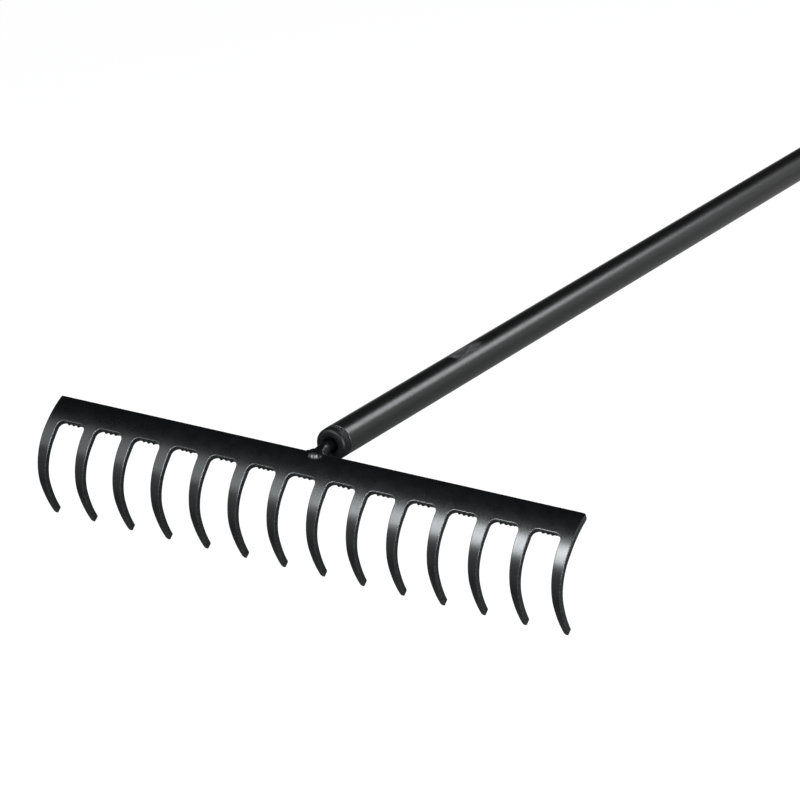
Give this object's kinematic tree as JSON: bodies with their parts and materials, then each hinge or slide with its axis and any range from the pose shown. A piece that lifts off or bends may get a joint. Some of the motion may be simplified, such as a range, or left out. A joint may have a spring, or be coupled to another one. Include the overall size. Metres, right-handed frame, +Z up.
{
  "type": "level head garden rake",
  "caption": "Level-head garden rake: a curved steel bar with punched tines, a tang rod and a long straight tubular handle with a hanging eye.",
  "frame": {"origin": "centre of the bounding box at floor level, with the rake lying on its tine tips and on the rim of its end cap", "axes": "+Z up, away from the tines; +Y along the handle from the head to the hanging eye, level (the handle itself slopes down 2.64 degrees towards its eye); +X along the head to the right of a person looking along +Y"},
  "size_m": [0.3918, 1.465, 0.086],
  "materials": {
    "black_coated_head": "black semi-gloss coat over rolled carbon steel",
    "black_coated_tang": "black semi-gloss coat over a drawn steel rod and its weld",
    "black_coated_tube": "black semi-gloss powder coat with faint orange peel",
    "black_moulded_insert": "black moulded nylon, lightly textured",
    "black_moulded_cap": "black moulded polypropylene, lightly textured",
    "spring_steel": "bright spring steel"
  },
  "bodies": {
    "root": {"rake_head": "black_coated_head", "tang_rod": "black_coated_tang", "tang_weld": "black_coated_tang", "socket_plug": "black_moulded_insert", "handle_tube": "black_coated_tube", "tail_bush": "black_moulded_insert", "lock_washer": "spring_steel", "end_cap": "black_moulded_cap"}
  },
  "joints": []
}
